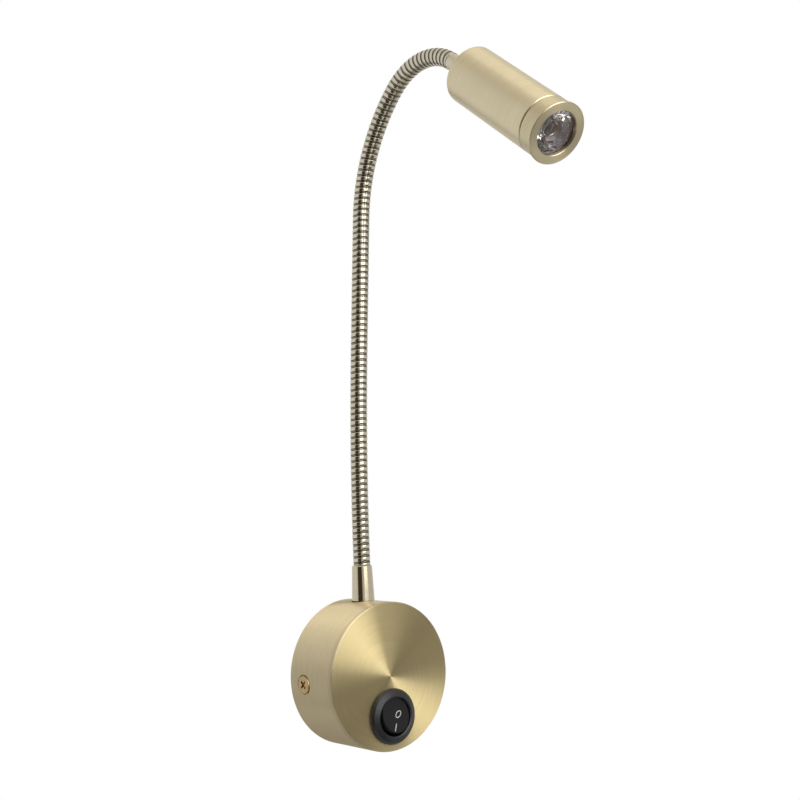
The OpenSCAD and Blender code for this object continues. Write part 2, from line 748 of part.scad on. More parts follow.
module terminal_screws() {
    tip = pole_out + insert_bore_d / 2 - 0.2;
    top = bracket_t + block_depth - 0.8;
    color(STEEL) facing() for (x = [-pole_x, pole_x], y = [0.25, 0.75])
        translate([x, block_low + block_h * y, tip]) difference() {
            cylinder(d = insert_screw_d, h = top - tip, $fn = SMALL);
            translate([-insert_screw_d, -0.2, top - tip - 0.6]) cube([2 * insert_screw_d, 0.4, CUT]);
        }
}

// Places inside the base that the wires run between, as [x, y, out]
blade_end_out = base_depth - barrel_depth - blade_l;
feed_in = [-pole_x, block_low + 0.8, pole_out];
neutral_in = [pole_x, block_low + block_h - 0.8, pole_out];
centre_blade = [0, -switch_drop, blade_end_out - WIRE_GAP];
end_blade = centre_blade + end_blade_y * [sin(switch_turn), cos(switch_turn), 0];
switched_in = concat(SWITCHED_AT, driver_board_out - WIRE_GAP);
neutral_out = concat(NEUTRAL_AT, driver_board_out - WIRE_GAP);

module switch_feed_wire() {
    color("#7a4a2b") facing() wire([
        feed_in, feed_in + [0, -2, 0], [-6.6, 0.5, 4.6], centre_blade + [-8, 11.5, -1.5],
        centre_blade + [-6.5, 5.5, -2.3], centre_blade + [-2.6, 1, -3.3],
        centre_blade + [0, 0, -1.8], centre_blade], wire_d);
}

module switched_wire() {
    color("#202020") facing() wire([
        end_blade, end_blade + [0, 0, -1.2], end_blade + [2.4, 2, -1.8], end_blade + [7, 5.6, -0.4],
        [SWITCHED_AT.x, SWITCHED_AT.y - 2.4, case_back - 3], switched_in + [0, 0, -3.6], switched_in],
        wire_d, [0.2, 0.9, 0.1]);
}

module neutral_wire() {
    color("#3b62a8") facing() wire([
        neutral_in, neutral_in + [0, 2.2, 0], [5.4, block_low + block_h + 2.6, pole_out + 0.4],
        [9.6, block_low + block_h + 1.6, pole_out + 0.8],
        [NEUTRAL_AT.x - 0.2, NEUTRAL_AT.y + 1, case_back - 2.2], neutral_out + [0, 0, -3.2], neutral_out],
        wire_d, [0.9, 0.2, 0.1]);
}

// Tapered ferrule with a threaded stud below the base's surface
module base_ferrule() {
    chamfer = 0.35;
    color(BRASS) on_arm(0) difference() {
        union() {
            rotate_extrude() polygon([
                [0, -ferrule_l], [ferrule_foot_d / 2, -ferrule_l],
                [ferrule_top_d / 2, -RUNNING - chamfer],
                [ferrule_top_d / 2 - chamfer, -RUNNING], [0, -RUNNING]]);
            translate([0, 0, -ferrule_l - stud_l]) cylinder(d = stud_d, h = stud_l + CUT, $fn = SMALL);
        }
        translate([0, 0, -ferrule_l - stud_l - CUT])
            cylinder(d = fitting_bore_d, h = ferrule_l + stud_l + 2 * CUT, $fn = SMALL);
        translate([0, 0, -socket_depth]) cylinder(d = socket_d, h = socket_depth + CUT, $fn = SMALL);
    }
}

module ferrule_washer() {
    color(STEEL) translate([0, -arm_out, washer_top - washer_t])
        pipe(washer_d, stud_d + 2 * LOOSE, washer_t, $fn = SMALL);
}

module ferrule_nut() {
    color(STEEL) translate([0, -arm_out, washer_top - washer_t - nut_t - SEAT])
        hex_nut(nut_af, stud_d + 2 * THREAD, nut_t);
}

// One link of the ribbed hose, with a plain tail where it enters a fitting
module arm_link(i) {
    from = (i - 1) * link_len;
    to = i * link_len;
    start = i == 1 ? [[-tail_l, hose_tail_d / 2], [0, hose_tail_d / 2]]
        : [[from + link_gap / 2, hose_tail_d / 2]];
    end = i == LINKS ? [[hose_len, hose_tail_d / 2], [hose_len + tail_l, hose_tail_d / 2]]
        : [[to - link_gap / 2, hose_tail_d / 2]];
    crests = [for (k = [0:ribs_per_link - 1]) [from + (k + 0.5) * rib_pitch, hose_d / 2]];
    valleys = [for (k = [1:ribs_per_link - 1]) [from + k * rib_pitch, hose_valley_d / 2]];
    outside = concat(start, [crests[0]],
        joined([for (k = [1:ribs_per_link - 1]) [valleys[k - 1], crests[k]]]), end);
    bore = [for (j = [len(outside) - 1:-2:0]) outside[j][0]];
    all_bore = bore[len(bore) - 1] == outside[0][0] ? bore : concat(bore, [outside[0][0]]);
    color(HOSE_BRASS) shell_of_rings(concat(
        [for (p = outside) ring(p[0], p[1] * rib_round)],
        [for (s = all_bore) ring(s, hose_bore_d / 2 * rib_round)]));
}

for (k = [1:LINKS - 1]) {
    fr = station(k * link_len);
    echo(str(k % 2 == 1 ? "Forward" : "Sideways", " hinge ", k, " at ", fr[0], " about ",
        k % 2 == 1 ? fr[2] : -fr[3]));
}
echo(str("Head back at ", station(hose_len + collar_l)));

// Lead from the driver board, through the arm, to where its cores part in the head
module lamp_lead() {
    low = -(foot_z + ferrule_l - case_top + case_wall + 1.5);
    high = hose_len + collar_l + lead_end;
    rings = 60;
    color("#e6e2d6") tube_of_rings([for (i = [0:rings]) ring(low + (high - low) * i / rings, lead_d / 2)]);
}

// Smooth collar with a threaded stud into the head's back
module head_collar() {
    stud = head_back + nut_t + 2;
    color(BRASS) in_head() difference() {
        union() {
            translate([0, 0, -collar_l + RUNNING]) cylinder(d = collar_d, h = collar_l - RUNNING - SEAT);
            translate([0, 0, -CUT]) cylinder(d = stud_d, h = stud + CUT, $fn = SMALL);
        }
        translate([0, 0, -collar_l - CUT])
            cylinder(d = fitting_bore_d, h = collar_l + stud + 2 * CUT, $fn = SMALL);
        translate([0, 0, -collar_l - CUT]) cylinder(d = socket_d, h = socket_depth + CUT, $fn = SMALL);
    }
}

module head_nut() {
    color(STEEL) in_head() translate([0, 0, head_back + SEAT]) hex_nut(nut_af, stud_d + 2 * THREAD, nut_t);
}

module head_body() {
    chamfer = 0.3;
    color(BRASS) in_head() difference() {
        translate([0, 0, body_len]) mirror([0, 0, 1]) round_edged(head_r, body_len, head_edge_r);
        translate([0, 0, head_back]) cylinder(r = head_r - head_wall, h = body_len);
        translate([0, 0, body_len - sleeve_l - 1]) cylinder(r = head_r - thread_wall, h = sleeve_l + 2);
        translate([0, 0, -CUT]) cylinder(d = stud_d + 2 * THREAD, h = head_back + 2 * CUT, $fn = SMALL);
        translate([0, 0, body_len - chamfer]) difference() {
            cylinder(r = head_r + CUT, h = chamfer + CUT);
            translate([0, 0, -CUT / 2])
                cylinder(r1 = head_r + CUT / 2, r2 = head_r - chamfer - CUT, h = chamfer + 1.5 * CUT);
        }
    }
}

module front_cap() {
    c = 0.25;
    back = cap_back + groove_w;
    color(BRASS) in_head() rotate_extrude() polygon([
        [lens_room_r, cap_back - sleeve_l], [sleeve_r, cap_back - sleeve_l], [sleeve_r, back],
        [head_r - c, back], [head_r, back + c], [head_r, head_l - flange_t],
        [flange_d / 2 - c, head_l - flange_t], [flange_d / 2, head_l - flange_t + c],
        [flange_d / 2, head_l - c], [flange_d / 2 - c, head_l],
        [opening_d / 2 + c, head_l], [opening_d / 2, head_l - c],
        [opening_d / 2, head_l - lip_t], [lens_room_r, head_l - lip_t]]);
}

// Collimating lens: a flat rim, a cone, a well for the emitter and a dimple with a dome in front
module lens() {
    rim_back = lens_front - lens_rim_t;
    well_r = 2.7;
    well_depth = 3.6;
    bulge_r = dimple_d * 0.72;
    bulge_h = bulge_r - sqrt(bulge_r * bulge_r - dimple_d * dimple_d / 4);
    color("#dfe6ea", 0.5) in_head() difference() {
        union() {
            rotate_extrude() polygon([
                [0, lens_back], [lens_back_d / 2, lens_back], [lens_r - 1, rim_back],
                [lens_r, rim_back], [lens_r, lens_front], [0, lens_front]]);
        }
        translate([0, 0, lens_back - CUT]) cylinder(r = well_r, h = well_depth + CUT, $fn = SMALL);
        difference() {
            translate([0, 0, lens_front - dimple_depth])
                cylinder(d = dimple_d, h = dimple_depth + CUT, $fn = SMALL);
            translate([0, 0, lens_front - dimple_depth + bulge_h - bulge_r]) sphere(bulge_r);
        }
    }
}

module lens_seal() {
    color(BLACK) in_head() translate([0, 0, lens_front + 0.05 + seal_d / 2])
        rotate_extrude() translate([lens_r - seal_d / 2, 0]) circle(d = seal_d, $fn = SMALL);
}

// Holder that stands on the heat sink round the board and carries the lens's cone and rim
module lens_holder() {
    rim_back = lens_front - lens_rim_t - SEAT;
    step = lens_back - 0.1;
    room_r = led_board_d / 2 + 0.3;
    low_r = lens_back_d / 2 + holder_gap;
    color(BLACK) in_head() rotate_extrude() polygon([
        [room_r, sink_front + SEAT], [holder_r, sink_front + SEAT], [holder_r, rim_back],
        [lens_r - 1 + holder_gap, rim_back], [low_r, step], [low_r, step - 0.6], [room_r, step - 0.6]]);
}

module led_emitter() {
    color("#f0e6b4") in_head() translate([0, 0, board_front + SEAT]) {
        translate([-1.75, -1.75, 0]) cube([3.5, 3.5, emitter_h]);
        translate([0, 0, emitter_h]) intersection() {
            sphere(dome_r, $fn = SMALL);
            translate([-2, -2, -0.2]) cube(4);
        }
    }
}

// Holes that the board, the pad and the heat sink share
module board_holes(depth) {
    for (y = [-board_screw_y, board_screw_y]) translate([0, y, 0])
        cylinder(d = 2.1, h = depth, $fn = SMALL);
    for (x = [-board_wire_x, board_wire_x]) translate([x, 0, 0])
        cylinder(d = core_d + 0.6, h = depth, $fn = SMALL);
}

module led_board() {
    color("#f2f2ee") in_head() translate([0, 0, board_back]) difference() {
        cylinder(d = led_board_d, h = led_board_t);
        translate([0, 0, -CUT]) board_holes(led_board_t + 2 * CUT);
    }
}

module thermal_pad() {
    color("#8d9aa8") in_head() translate([0, 0, sink_front + SEAT]) difference() {
        cylinder(d = led_board_d - 0.4, h = pad_t);
        translate([0, 0, -CUT]) board_holes(pad_t + 2 * CUT);
    }
}

module heat_sink() {
    groove = 1.2;
    color("#c9ccd0") in_head() translate([0, 0, sink_front - sink_l]) difference() {
        cylinder(r = sink_r, h = sink_l);
        translate([0, 0, -CUT]) board_holes(sink_l + 2 * CUT);
        for (z = [0.25, 0.5, 0.75]) translate([0, 0, sink_l * z - groove / 2])
            pipe(sink_r * 2 + CUT, sink_r * 2 - 2 * groove, groove);
    }
}

module board_screws() {
    color(STEEL) in_head() for (y = [-board_screw_y, board_screw_y])
        translate([0, y, board_front + SEAT]) difference() {
            union() {
                cylinder(d = 3, h = 0.9, $fn = SMALL);
                translate([0, 0, -7]) cylinder(d = 2, h = 7.2, $fn = SMALL);
            }
            translate([0, 0, 0.9]) cross_recess(2, 0.45, 0.5);
        }
}

// The lead's two cores, from where they part to the board's front
module led_wires() {
    low = lead_end + WIRE_GAP;
    color("#c03a2e") in_head() both_sides() wire([
        [core_d * 0.6, 0, low], [core_d * 0.6, 0, low + 0.8], [board_wire_x * 0.4, 0, low + 2],
        [board_wire_x - core_d * 0.8, 0, low + 3.6], [board_wire_x, 0, low + 5],
        [board_wire_x, 0, sink_front - sink_l / 2],
        [board_wire_x, 0, board_front + 0.2]], core_d, [0, 1, 0]);
}

base_housing();
wall_bracket();
housing_screws();
switch_body();
switch_rocker();
switch_plunger();
switch_spring();
switch_contact_lever();
switch_terminals();
driver_case();
driver_lid();
driver_tape();
driver_board();
driver_components();
terminal_block();
terminal_inserts();
terminal_screws();
earth_screw();
switch_feed_wire();
switched_wire();
neutral_wire();
base_ferrule();
ferrule_washer();
ferrule_nut();
for (i = [1:LINKS]) arm_link(i);
lamp_lead();
head_collar();
head_nut();
head_body();
front_cap();
lens();
lens_seal();
lens_holder();
led_emitter();
led_board();
led_wires();
board_screws();
thermal_pad();
heat_sink();
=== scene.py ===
"""Looks of the adjustable wall lamp: brushed antique brass, a ribbed hose, a rocker switch and
a clear lens, on a white ground in a plain soft studio. Metres, in the frame of the solids."""

import math

import bmesh
import bpy
from mathutils import Matrix, Vector


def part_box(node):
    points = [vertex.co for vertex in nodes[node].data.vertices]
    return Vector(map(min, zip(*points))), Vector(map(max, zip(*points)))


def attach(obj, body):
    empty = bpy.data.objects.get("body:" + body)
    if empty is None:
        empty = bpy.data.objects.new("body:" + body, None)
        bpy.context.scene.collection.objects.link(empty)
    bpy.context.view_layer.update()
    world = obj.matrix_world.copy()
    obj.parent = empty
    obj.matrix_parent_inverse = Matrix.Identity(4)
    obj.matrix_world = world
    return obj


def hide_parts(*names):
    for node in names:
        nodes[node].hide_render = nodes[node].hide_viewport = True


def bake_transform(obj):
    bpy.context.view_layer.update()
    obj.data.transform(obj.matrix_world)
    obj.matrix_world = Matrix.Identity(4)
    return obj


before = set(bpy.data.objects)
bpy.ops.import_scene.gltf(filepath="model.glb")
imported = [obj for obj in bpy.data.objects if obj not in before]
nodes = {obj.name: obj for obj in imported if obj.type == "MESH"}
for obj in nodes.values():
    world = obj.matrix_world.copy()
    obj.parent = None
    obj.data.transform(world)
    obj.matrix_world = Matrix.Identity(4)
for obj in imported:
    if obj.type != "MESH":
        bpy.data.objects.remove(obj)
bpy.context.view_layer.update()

MM = 0.001

# Sizes of the lamp as the solids have them, in millimetres and degrees
ARM_OUT = 11.5
ARM_FOOT = 44.52
# Stretches of the arm from the base up: length, degrees to the side, degrees forwards
STRETCHES = ((90, 4, 0), (56, 0, 0), (56, 0, 45), (40, 0, 81))
LINKS = 14
RIBS_PER_LINK = 7
TAIL_R = 2.6
TAIL_L = 6.0
COLLAR_L = 14.0
LEAD_R = 1.2
LEAD_END = 19.8  # past the head's back
BASE_R = 30.0
BASE_DEPTH = 27.5
SWITCH_DROP = 16.0
SWITCH_TURN = -22.0
PIVOT_DEPTH = 1.5
ROCKER_R = 7.2
ROCKER_FACE = 4.3
ROCKER_DISH = 0.6
ROCKER_TILT = -11.0

HOSE_LEN = sum(s[0] for s in STRETCHES)
LINK_LEN = HOSE_LEN / LINKS
RIB_PITCH = LINK_LEN / RIBS_PER_LINK
HEAD_AT = HOSE_LEN + COLLAR_L


def direction(turn, lift):
    """The way from the lamp at those degrees round from straight in front, and up."""
    a, e = math.radians(turn), math.radians(lift)
    return Vector((math.sin(a) * math.cos(e), -math.cos(a) * math.cos(e), math.sin(e)))


# The arm's centre line. A station is (point, way along, way to the side, way forwards).


def turned(station, length, side, forward):
    """The station at the end of a stretch that turns by that many degrees."""
    point, along, across, front = station
    angle = math.radians(side + forward)
    way = across if side else front
    reach, off = length, 0.0
    if angle:
        radius = length / angle
        reach, off = radius * math.sin(angle), radius * (1 - math.cos(angle))
    c, s = math.cos(angle), math.sin(angle)
    here = point + along * reach + way * off
    ahead = along * c + way * s
    turned_way = way * c - along * s
    return (here, ahead, turned_way, front) if side else (here, ahead, across, turned_way)


def station(s):
    """The station at distance s along the arm, which runs straight past both ends."""
    here = (Vector((0, -ARM_OUT, ARM_FOOT)), Vector((0, 0, 1)), Vector((1, 0, 0)), Vector((0, -1, 0)))
    if s < 0:
        return turned(here, s, 0, 0)
    for length, side, forward in STRETCHES:
        if s <= length:
            return turned(here, s, side * s / length, forward * s / length)
        here = turned(here, length, side, forward)
        s -= length
    return turned(here, s, 0, 0)


def on_arm(s, radius, angle):
    """A point round the arm's centre line, in metres."""
    point, _, across, front = station(s)
    return (point + radius * (math.cos(angle) * across - math.sin(angle) * front)) * MM


def link_body(k):
    """The body that carries link k. The first is fixed to the base and the last to the head."""
    fixed = {1: "base", LINKS: "arm_head"}
    return fixed.get(k, f"arm_link_{k:02d}")


# Camera


CAMERA_AT = Vector((-351.32, -464.40, 83.685)) * MM
CAMERA_TURN = -39.668  # degrees round the lamp, from straight in front
CAMERA_LIFT = -2.874
CAMERA_ROLL = -2.395
SENSOR = 36.0
FOCAL = 61.756
NEAREST = 0.01


def make_camera():
    """The camera, placed where the photograph was taken from."""
    turn, roll = math.radians(CAMERA_TURN), math.radians(CAMERA_ROLL)
    back = direction(CAMERA_TURN, CAMERA_LIFT)
    level = Vector((math.cos(turn), math.sin(turn), 0))
    upright = back.cross(level)
    right = math.cos(roll) * level + math.sin(roll) * upright
    up = math.cos(roll) * upright - math.sin(roll) * level
    data = bpy.data.cameras.new("camera")
    data.sensor_width = SENSOR
    data.lens = FOCAL
    data.clip_start = NEAREST
    camera = bpy.data.objects.new("camera", data)
    camera.matrix_world = Matrix.Translation(CAMERA_AT) @ Matrix((right, up, back)).transposed().to_4x4()
    bpy.context.scene.collection.objects.link(camera)
    bpy.context.scene.camera = camera


# Node helpers


BEVEL_SAMPLES = 6
ONE_NUMBER = ("LENGTH", "DOT_PRODUCT")  # vector operations that give a number


class Nodes:
    """A node tree with short ways to add a node, set it and join it."""

    def __init__(self, tree):
        self.tree = tree

    def add(self, kind, sockets=None, **settings):
        """Adds a node. sockets gives values or other nodes' outputs for its inputs."""
        made = self.tree.nodes.new(kind)
        for name, value in settings.items():
            setattr(made, name, value)
        for name, value in (sockets or {}).items():
            self.put(made.inputs[name], value)
        return made

    def put(self, socket, value):
        """Sets a socket to a value, or joins another node's output to it."""
        if isinstance(value, bpy.types.NodeSocket):
            self.tree.links.new(value, socket)
        else:
            socket.default_value = value

    def math(self, operation, *values):
        return self.add("ShaderNodeMath", dict(enumerate(values)), operation=operation).outputs[0]

    def vector(self, operation, *values):
        made = self.add("ShaderNodeVectorMath", dict(enumerate(values)), operation=operation)
        return made.outputs["Value" if operation in ONE_NUMBER else "Vector"]

    def scaled(self, vector, share):
        return self.add("ShaderNodeVectorMath", {0: vector, "Scale": share}, operation="SCALE").outputs[0]

    def fade(self, value, start, end, low=0.0, high=1.0):
        """Maps start..end to low..high smoothly, and holds the ends."""
        made = self.add(
            "ShaderNodeMapRange",
            {"Value": value, "From Min": start, "From Max": end, "To Min": low, "To Max": high},
            interpolation_type="SMOOTHSTEP",
        )
        return made.outputs["Result"]

    def share(self, value, start, end):
        """Maps start..end to 0..1 evenly."""
        made = self.add("ShaderNodeMapRange", {"Value": value, "From Min": start, "From Max": end})
        return made.outputs["Result"]

    def mix(self, share, first, second):
        """Blends two colours, from the first at 0 to the second at 1."""
        made = self.tree.nodes.new("ShaderNodeMix")
        made.data_type = "RGBA"
        self.put(made.inputs["Factor"], share)
        first_colour, second_colour = [s for s in made.inputs if s.type == "RGBA"]
        self.put(first_colour, first)
        self.put(second_colour, second)
        return next(s for s in made.outputs if s.type == "RGBA")

    def noise(self, vector, scale, detail=3.0, roughness=0.55):
        made = self.add(
            "ShaderNodeTexNoise",
            {"Vector": vector, "Scale": scale, "Detail": detail, "Roughness": roughness},
        )
        return made.outputs["Fac"]

    def place(self):
        """The place on the piece, in its own frame, which moves with it."""
        return self.add("ShaderNodeTexCoord").outputs["Object"]

    def bump(self, height, depth, normal=None):
        """The surface's direction where height 0 to 1 stands for that depth in metres."""
        made = self.add("ShaderNodeBump", {"Height": height, "Distance": depth})
        if normal is not None:
            self.put(made.inputs["Normal"], normal)
        return made.outputs["Normal"]

    def soft_edges(self, radius):
        """The surface's direction with sharp edges shown as rounded by that radius."""
        made = self.add("ShaderNodeBevel", {"Radius": radius * MM}, samples=BEVEL_SAMPLES)
        return made.outputs["Normal"]


def material(name, **sockets):
    """A new material, its nodes and its Principled shader with those uniform values."""
    made = bpy.data.materials.new(name)
    made.use_nodes = True
    shader = made.node_tree.nodes["Principled BSDF"]
    for socket, value in sockets.items():
        shader.inputs[socket.replace("_", " ")].default_value = value
    return made, Nodes(made.node_tree), shader


def shade(colour, share):
    """An RGBA colour, scaled."""
    return tuple(min(1.0, c * share) for c in colour[:3]) + (1.0,)


# Studio


BACKDROP = (1.0, 1.0, 1.0, 1.0)
SOFT_LEVEL = (0.34, 0.34, 0.34, 1.0)
FLOOR_DROP = -0.36
FLOOR_R = 4.0
FLOOR_SIDES = 64
FLOOR_GRAIN = 30.0
FLOOR_SHADES = ((0.93, 0.93, 0.93, 1.0), (0.96, 0.96, 0.96, 1.0))
SHADOW_FROM, SHADOW_TO = 0.1, 0.5  # between these distances the lit floor passes into white
KEY_TURN, KEY_LIFT = 1.0, 31.0  # degrees from the front, and up
KEY_AIM = Vector((0, -0.03, 0.12))
KEY_AWAY = 1.0
KEY_SIZE = (0.86, 1.4)
KEY_POWER = 9.4
KEY_COLOUR = (1.0, 0.985, 0.96)
# The studio as metal reflects it. Heights run from -1, straight down, to 1, straight up.
OVERHEAD = (0.82, 0.77, 0.70, 1.0)
OVERHEAD_FROM, OVERHEAD_TO = 0.45, 0.95
# Its ground is a little darker towards the bottom
LOW_FROM, LOW_TO, LOW_LEVEL = -0.3, -0.8, 0.75
# Its brightness round the lamp: degrees from the front, level
STUDIO_ROUND = (
    (-180, 1.0),
    (-112, 1.0),
    (-96, 0.9),
    (-40, 0.7),
    (0, 0.85),
    (45, 0.85),
    (60, 0.8),
    (105, 0.92),
    (180, 1.0),
)
# Dark flags in it: from and to in degrees round, from and to in height, and how dark each is.
# The last two are one flag that passes behind the lamp.
FLAGS = (
    (-90, -41, -0.6, 0.27, 0.97),
    (-14, 34, -0.8, -0.12, 0.92),
    (56, 100, 0.12, 0.6, 0.6),
    (52, 108, -0.95, -0.42, 0.45),
    (-79, -51, 0.2, 0.62, 0.85),
    (120, 190, -1.2, -0.28, 0.52),
    (-190, -150, -1.2, -0.28, 0.52),
)
FLAG_SOFT = 0.12
FLAG_COLOUR = (0.055, 0.034, 0.012, 1.0)


def fill_ramp(ramp, stops):
    """Puts those (place, colour) stops on a colour ramp."""
    while len(ramp.elements) > 1:
        ramp.elements.remove(ramp.elements[-1])
    ramp.elements[0].position, ramp.elements[0].color = stops[0]
    for place, colour in stops[1:]:
        ramp.elements.new(place).color = colour


def between(n, value, start, end):
    """1 between two values, 0 outside them, with soft ends."""
    rise = n.fade(value, start - FLAG_SOFT, start + FLAG_SOFT)
    return n.math("MULTIPLY", rise, n.fade(value, end + FLAG_SOFT, end - FLAG_SOFT))


def studio_seen(n, way):
    """What metal reflects in that direction."""
    x, y, z = n.add("ShaderNodeSeparateXYZ", {"Vector": n.vector("NORMALIZE", way)}).outputs
    turn = n.math("ARCTAN2", x, n.math("MULTIPLY", y, -1.0))
    ramp = n.add("ShaderNodeValToRGB", {"Fac": n.share(turn, -math.pi, math.pi)})
    fill_ramp(ramp.color_ramp, [((a + 180) / 360, (v, v, v, 1)) for a, v in STUDIO_ROUND])
    seen = n.mix(n.fade(z, OVERHEAD_FROM, OVERHEAD_TO), ramp.outputs["Color"], OVERHEAD)
    level = n.fade(z, LOW_FROM, LOW_TO, 1.0, LOW_LEVEL)
    for left, right, low, high, depth in FLAGS:
        across = between(n, turn, math.radians(left), math.radians(right))
        flag = n.math("MULTIPLY", across, between(n, z, low, high))
        level = n.math("MULTIPLY", level, n.fade(flag, 0.0, 1.0, 1.0, 1.0 - depth))
    return n.mix(level, FLAG_COLOUR, seen)


def plainly_seen(n, rays):
    """1 for what the camera sees, straight or through the lens, and 0 for all other light."""
    return n.math("MAXIMUM", rays["Is Camera Ray"], rays["Is Transmission Ray"])


def make_world():
    """A white ground for the camera and the lens, the studio for metal, and soft light."""
    world = bpy.data.worlds.new("studio")
    bpy.context.scene.world = world
    world.use_nodes = True
    tree = world.node_tree
    tree.nodes.clear()
    n = Nodes(tree)
    studio = studio_seen(n, n.add("ShaderNodeTexCoord").outputs["Generated"])
    rays = n.add("ShaderNodeLightPath").outputs
    lit = n.mix(rays["Is Glossy Ray"], SOFT_LEVEL, studio)
    colour = n.mix(plainly_seen(n, rays), lit, BACKDROP)
    ground = n.add("ShaderNodeBackground", {"Color": colour, "Strength": 1.0})
    out = n.add("ShaderNodeOutputWorld")
    tree.links.new(ground.outputs[0], out.inputs[0])


def make_key_light():
    """One large soft light, high in front of the lamp."""
    data = bpy.data.lights.new("key", "AREA")
    data.shape = "RECTANGLE"
    data.size, data.size_y = KEY_SIZE
    data.energy = KEY_POWER
    data.color = KEY_COLOUR
    light = bpy.data.objects.new("key", data)
    back = direction(KEY_TURN, KEY_LIFT)
    light.location = KEY_AIM + back * KEY_AWAY
    light.rotation_mode = "QUATERNION"
    light.rotation_quaternion = (-back).to_track_quat("-Z", "Y")
    bpy.context.scene.collection.objects.link(light)


def make_floor():
    """A pale floor that keeps the lamp's shadow, passes into white, and is the studio to metal."""
    mesh = bpy.data.meshes.new("floor")
    shape = bmesh.new()
    bmesh.ops.create_circle(shape, cap_ends=True, radius=FLOOR_R, segments=FLOOR_SIDES)
    shape.to_mesh(mesh)
    shape.free()
    floor = bpy.data.objects.new("floor", mesh)
    floor.location = (0, 0, FLOOR_DROP)
    bpy.context.scene.collection.objects.link(floor)
    made, n, shader = material("floor", Roughness=0.8)
    place = n.place()
    n.put(shader.inputs["Base Color"], n.mix(n.noise(place, FLOOR_GRAIN), *FLOOR_SHADES))
    rays = n.add("ShaderNodeLightPath").outputs
    away = n.fade(n.vector("LENGTH", place), SHADOW_FROM, SHADOW_TO)
    white = n.math("MULTIPLY", plainly_seen(n, rays), away)
    seen = n.math("MAXIMUM", white, rays["Is Glossy Ray"])
    from_lamp = n.vector("ADD", place, (0, 0, FLOOR_DROP))
    colour = n.mix(rays["Is Glossy Ray"], BACKDROP, studio_seen(n, from_lamp))
    ground = n.add("ShaderNodeEmission", {"Color": colour, "Strength": 1.0})
    blend = n.add("ShaderNodeMixShader", {0: seen, 1: shader.outputs[0], 2: ground.outputs[0]})
    n.put(made.node_tree.nodes["Material Output"].inputs["Surface"], blend.outputs[0])
    mesh.materials.append(made)


# Metals


BRASS = (0.60, 0.495, 0.265, 1.0)
PAINTED_LIGHT_SIDE_BRASS = (0.64, 0.545, 0.35, 1.0)  # the base's side, painted paler than its front for the light that falls on it
HEAD_BRASS = (0.665, 0.585, 0.395, 1.0)
# Painted shade: the front cap is a darker copy of the head's brass
PAINTED_SHADE_CAP_BRASS = (0.585, 0.51, 0.335, 1.0)
COLLAR_BRASS = (0.60, 0.54, 0.42, 1.0)
FERRULE_BRASS = (0.52, 0.46, 0.335, 1.0)
HOSE_LIGHT = (0.58, 0.545, 0.43, 1.0)
HOSE_DARK = (0.49, 0.45, 0.35, 1.0)
# Painted shade in the hose's grooves
PAINTED_GROOVE_SHADE = (0.03, 0.02, 0.011, 1.0)
SCREW_BRASS = (0.39, 0.27, 0.13, 1.0)
CONTACT_BRASS = (0.80, 0.60, 0.30, 1.0)
ZINC = (0.66, 0.67, 0.69, 1.0)
SPRING_STEEL = (0.58, 0.58, 0.60, 1.0)
ALUMINIUM = (0.78, 0.79, 0.80, 1.0)
LINE_STRETCH = 8.0  # how much finer the turned lines are across than along
LINE_SCALE = 110.0
CLOUD_SCALE = 60.0
SIDE_FROM, SIDE_TO = 0.9, 0.1  # how far inside the base's radius the side's painted lighter colour starts and is full
RIM_LINES = 2.6  # width of the turned lines beside the base's front edge
RIM_LINE_GAP = 0.8
RIM_LINE_SHADE = 0.74


def from_axis(n, place, centre, axis):
    """For a turned piece: the way out from its axis, the height along it and the way round it."""
    out = n.vector("SUBTRACT", place, centre)
    height = n.vector("DOT_PRODUCT", out, axis)
    flat = n.vector("SUBTRACT", out, n.scaled(axis, height))
    return flat, height, n.vector("NORMALIZE", n.vector("CROSS_PRODUCT", axis, flat))


def in_world(n, vector):
    """A direction on the piece, turned to the world's axes."""
    made = n.add(
        "ShaderNodeVectorTransform",
        {"Vector": vector},
        vector_type="VECTOR",
        convert_from="OBJECT",
        convert_to="WORLD",
    )
    return made.outputs[0]


def streaked(n, lines, colour, low, high):
    """A colour that the fine lines make darker and lighter by those shares."""
    return n.mix(n.share(lines, 0.3, 0.7), shade(colour, low), shade(colour, high))


def with_painted_light_side(n, front, lines, radius, height, rim):
    """The base's side, painted paler for the light that falls on it, with a few darker turned lines behind
    its front edge at height rim.
    """
    side = streaked(n, lines, PAINTED_LIGHT_SIDE_BRASS, 0.94, 1.04)
    # Painted light: the side is given a paler copy of the brass, for the light that falls on it
    painted_light_share = n.fade(radius, (BASE_R - SIDE_FROM) * MM, (BASE_R - SIDE_TO) * MM)
    turns = n.math("SINE", n.math("MULTIPLY", height, 2 * math.pi / (RIM_LINE_GAP * MM)))
    near = n.fade(height, (rim + RIM_LINES) * MM, (rim + RIM_LINES - RIM_LINE_GAP) * MM)
    beside = n.math("MULTIPLY", near, n.fade(height, rim * MM, (rim + RIM_LINE_GAP) * MM))
    dark = n.math("MULTIPLY", beside, n.fade(turns, 0.0, 0.9))
    return n.mix(dark, n.mix(painted_light_share, front, side), shade(BRASS, RIM_LINE_SHADE))


